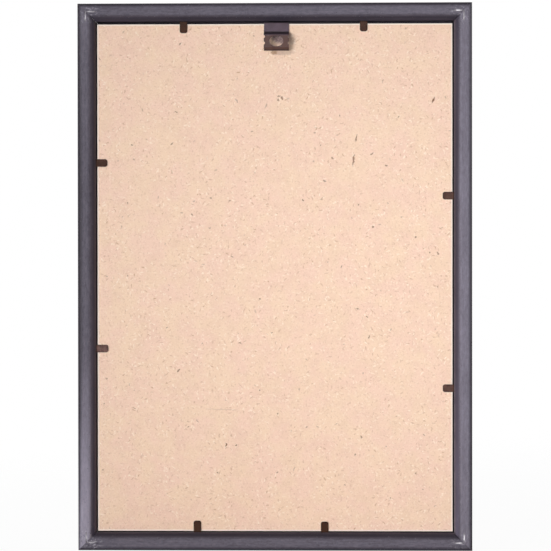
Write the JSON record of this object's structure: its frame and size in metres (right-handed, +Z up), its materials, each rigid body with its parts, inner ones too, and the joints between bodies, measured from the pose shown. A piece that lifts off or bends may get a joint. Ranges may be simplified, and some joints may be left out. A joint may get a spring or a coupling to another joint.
{
  "type": "picture frame",
  "caption": "Upright wall picture frame: mitred plastic moulding with glass, blank insert and hardboard back, held by bendable steel points and hung by a slide-on clip.",
  "frame": {"origin": "middle of the frame's box, upright", "axes": "+Z up, -Y out of the back to the wall, +Y out of the glazed front, +X right as seen from behind"},
  "size_m": [0.233, 0.0152, 0.3236],
  "materials": {
    "moulding_plastic": "satin, scuffed",
    "nail_steel": "bare edge",
    "pane_glass": "clear float glass",
    "insert_paper": "uncoated paper, blank",
    "panel_hardboard": "bare hardboard",
    "clip_steel": "dark lacquer",
    "point_steel": "burnished brown"
  },
  "bodies": {
    "frame": {"back_panel": "panel_hardboard", "glass_pane": "pane_glass", "insert_sheet": "insert_paper", "moulding_bottom": "moulding_plastic", "moulding_left": "moulding_plastic", "moulding_right": "moulding_plastic", "moulding_top": "moulding_plastic", "retainer_bottom_left_shank": "point_steel", "retainer_bottom_right_shank": "point_steel", "retainer_left_lower_shank": "point_steel", "retainer_left_upper_shank": "point_steel", "retainer_right_lower_shank": "point_steel", "retainer_right_upper_shank": "point_steel", "retainer_top_left_shank": "point_steel", "retainer_top_right_shank": "point_steel", "v_nail_bottom_left": "nail_steel", "v_nail_bottom_right": "nail_steel", "v_nail_top_left": "nail_steel", "v_nail_top_right": "nail_steel"},
    "hanger": {"hanger_clip": "clip_steel"},
    "retainer_top_left": {"retainer_top_left_tab": "point_steel"},
    "retainer_top_right": {"retainer_top_right_tab": "point_steel"},
    "retainer_left_upper": {"retainer_left_upper_tab": "point_steel"},
    "retainer_left_lower": {"retainer_left_lower_tab": "point_steel"},
    "retainer_right_upper": {"retainer_right_upper_tab": "point_steel"},
    "retainer_right_lower": {"retainer_right_lower_tab": "point_steel"},
    "retainer_bottom_left": {"retainer_bottom_left_tab": "point_steel"},
    "retainer_bottom_right": {"retainer_bottom_right_tab": "point_steel"}
  },
  "joints": [
    {"name": "hanger_slide", "type": "slide", "parent": "frame", "child": "hanger", "axis": [1, 0, 0], "range_m": [-0.045, 0.0415]},
    {"name": "retainer_top_left_bend", "type": "hinge", "parent": "frame", "child": "retainer_top_left", "pos_m": [-0.0538, -0.00327, 0.15085], "axis": [-1, 0, 0], "range_deg": [0, 90]},
    {"name": "retainer_top_right_bend", "type": "hinge", "parent": "frame", "child": "retainer_top_right", "pos_m": [0.0527, -0.00327, 0.15085], "axis": [-1, 0, 0], "range_deg": [0, 90]},
    {"name": "retainer_left_upper_bend", "type": "hinge", "parent": "frame", "child": "retainer_left_upper", "pos_m": [-0.1056, -0.00327, 0.0676], "axis": [0, 0, -1], "range_deg": [0, 90]},
    {"name": "retainer_left_lower_bend", "type": "hinge", "parent": "frame", "child": "retainer_left_lower", "pos_m": [-0.1056, -0.00327, -0.0423], "axis": [0, 0, -1], "range_deg": [0, 90]},
    {"name": "retainer_right_upper_bend", "type": "hinge", "parent": "frame", "child": "retainer_right_upper", "pos_m": [0.1056, -0.00327, 0.0479], "axis": [0, 0, 1], "range_deg": [0, 90]},
    {"name": "retainer_right_lower_bend", "type": "hinge", "parent": "frame", "child": "retainer_right_lower", "pos_m": [0.1056, -0.00327, -0.0658], "axis": [0, 0, 1], "range_deg": [0, 90]},
    {"name": "retainer_bottom_left_bend", "type": "hinge", "parent": "frame", "child": "retainer_bottom_left", "pos_m": [-0.046, -0.00327, -0.15085], "axis": [1, 0, 0], "range_deg": [0, 90]},
    {"name": "retainer_bottom_right_bend", "type": "hinge", "parent": "frame", "child": "retainer_bottom_right", "pos_m": [0.0294, -0.00327, -0.15085], "axis": [1, 0, 0], "range_deg": [0, 90]}
  ]
}
